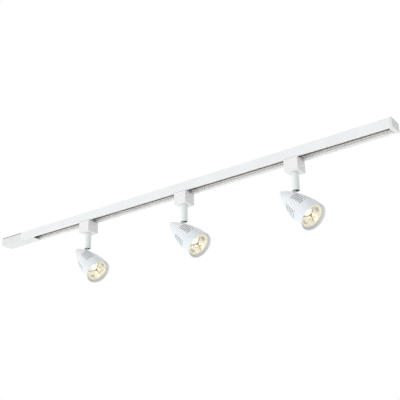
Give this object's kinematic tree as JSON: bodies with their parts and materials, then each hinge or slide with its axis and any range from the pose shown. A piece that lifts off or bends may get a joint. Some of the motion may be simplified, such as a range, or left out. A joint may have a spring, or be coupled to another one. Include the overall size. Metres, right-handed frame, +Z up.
{
  "type": "track lighting fixture",
  "caption": "Straight ceiling track with sliding spotlights: each has a vertical stem that turns and a vented bullet-shaped shade that tilts around a lit reflector lamp.",
  "frame": {"origin": "on the ceiling plane, in the middle of the track profile's top face", "axes": "+X along the track away from the live end, +Y across the track away from the viewer of the picture, +Z up into the ceiling"},
  "size_m": [1.077, 0.0632, 0.1733],
  "materials": {
    "white_paint": "gloss white powder coat",
    "white_plastic": "gloss white moulding",
    "insulator_plastic": "satin pale grey extrusion",
    "dark_plastic": "satin near-black moulding",
    "grey_plastic": "satin grey moulding",
    "copper": "bright drawn copper",
    "contact_brass": "bright pressed brass",
    "spring_steel": "bright spring steel",
    "bright_steel": "zinc-plated steel",
    "ceramic": "satin steatite ceramic",
    "lamp_glass": "faceted reflector glass with a warm coating",
    "lens_glass": "clear front glass"
  },
  "bodies": {
    "track": {"track_profile": "white_paint", "front_insulator": "insulator_plastic", "back_insulator": "insulator_plastic", "live_conductor": "copper", "neutral_conductor": "copper", "earth_conductor": "copper", "live_end_housing": "white_plastic", "live_end_tray": "dark_plastic", "terminal_block": "insulator_plastic", "live_end_contacts": "contact_brass", "terminal_screws": "contact_brass", "end_cap": "white_plastic"},
    "left_adapter": {"adapter_body_1": "white_plastic", "adapter_base_1": "white_plastic", "adapter_contacts_1": "contact_brass", "lock_spring_1": "spring_steel"},
    "left_lock_tab": {"lock_tab_1": "grey_plastic"},
    "left_stem": {"stem_1": "white_paint", "stem_clip_1": "spring_steel", "pivot_block_1": "dark_plastic", "pivot_pin_1": "bright_steel"},
    "left_shade": {"shade_1": "white_paint", "shade_bracket_1": "bright_steel", "lampholder_1": "ceramic", "head_screws_1": "bright_steel"},
    "left_lamp": {"lamp_body_1": "lamp_glass", "lamp_lens_1": "lens_glass", "lamp_pins_1": "bright_steel"},
    "middle_adapter": {"adapter_body_2": "white_plastic", "adapter_base_2": "white_plastic", "adapter_contacts_2": "contact_brass", "lock_spring_2": "spring_steel"},
    "middle_lock_tab": {"lock_tab_2": "grey_plastic"},
    "middle_stem": {"stem_2": "white_paint", "stem_clip_2": "spring_steel", "pivot_block_2": "dark_plastic", "pivot_pin_2": "bright_steel"},
    "middle_shade": {"shade_2": "white_paint", "shade_bracket_2": "bright_steel", "lampholder_2": "ceramic", "head_screws_2": "bright_steel"},
    "middle_lamp": {"lamp_body_2": "lamp_glass", "lamp_lens_2": "lens_glass", "lamp_pins_2": "bright_steel"},
    "right_adapter": {"adapter_body_3": "white_plastic", "adapter_base_3": "white_plastic", "adapter_contacts_3": "contact_brass", "lock_spring_3": "spring_steel"},
    "right_lock_tab": {"lock_tab_3": "grey_plastic"},
    "right_stem": {"stem_3": "white_paint", "stem_clip_3": "spring_steel", "pivot_block_3": "dark_plastic", "pivot_pin_3": "bright_steel"},
    "right_shade": {"shade_3": "white_paint", "shade_bracket_3": "bright_steel", "lampholder_3": "ceramic", "head_screws_3": "bright_steel"},
    "right_lamp": {"lamp_body_3": "lamp_glass", "lamp_lens_3": "lens_glass", "lamp_pins_3": "bright_steel"}
  },
  "joints": [
    {"name": "left_slide", "type": "slide", "parent": "track", "child": "left_adapter", "axis": [1, 0, 0], "range_m": [-0.16, 0.06]},
    {"name": "left_lock", "type": "slide", "parent": "left_adapter", "child": "left_lock_tab", "axis": [0, 0, -1], "range_m": [0, 0.0035], "stiffness_N_per_m": 400, "springref_m": -0.004, "deforming": ["lock_spring_1"]},
    {"name": "left_pan", "type": "hinge", "parent": "left_adapter", "child": "left_stem", "pos_m": [-0.278, 0, -0.06], "axis": [0, 0, 1], "range_deg": [-172.7, 177.3]},
    {"name": "left_tilt", "type": "hinge", "parent": "left_stem", "child": "left_shade", "pos_m": [-0.278, 0, -0.0781], "axis": [0.0401, 0.9992, 0], "range_deg": [-52.6, 47.4]},
    {"name": "left_lamp_pull", "type": "slide", "parent": "left_shade", "child": "left_lamp", "axis": [0.7355, -0.0295, -0.6769], "range_m": [0, 0.06]},
    {"name": "middle_slide", "type": "slide", "parent": "track", "child": "middle_adapter", "axis": [1, 0, 0], "range_m": [-0.06, 0.06]},
    {"name": "middle_lock", "type": "slide", "parent": "middle_adapter", "child": "middle_lock_tab", "axis": [0, 0, -1], "range_m": [0, 0.0035], "stiffness_N_per_m": 400, "springref_m": -0.004, "deforming": ["lock_spring_2"]},
    {"name": "middle_pan", "type": "hinge", "parent": "middle_adapter", "child": "middle_stem", "pos_m": [0.0105, 0, -0.06], "axis": [0, 0, 1], "range_deg": [-174.6, 175.4]},
    {"name": "middle_tilt", "type": "hinge", "parent": "middle_stem", "child": "middle_shade", "pos_m": [0.0105, 0, -0.0781], "axis": [0.007, 1, 0], "range_deg": [-50.7, 49.3]},
    {"name": "middle_lamp_pull", "type": "slide", "parent": "middle_shade", "child": "middle_lamp", "axis": [0.7581, -0.0053, -0.6521], "range_m": [0, 0.06]},
    {"name": "right_slide", "type": "slide", "parent": "track", "child": "right_adapter", "axis": [1, 0, 0], "range_m": [-0.06, 0.18]},
    {"name": "right_lock", "type": "slide", "parent": "right_adapter", "child": "right_lock_tab", "axis": [0, 0, -1], "range_m": [0, 0.0035], "stiffness_N_per_m": 400, "springref_m": -0.004, "deforming": ["lock_spring_3"]},
    {"name": "right_pan", "type": "hinge", "parent": "right_adapter", "child": "right_stem", "pos_m": [0.288, 0, -0.06], "axis": [0, 0, 1], "range_deg": [-167.9, 182.1]},
    {"name": "right_tilt", "type": "hinge", "parent": "right_stem", "child": "right_shade", "pos_m": [0.288, 0, -0.0781], "axis": [0.1236, 0.9923, 0], "range_deg": [-54.7, 45.3]},
    {"name": "right_lamp_pull", "type": "slide", "parent": "right_shade", "child": "right_lamp", "axis": [0.7053, -0.0879, -0.7034], "range_m": [0, 0.06]}
  ]
}
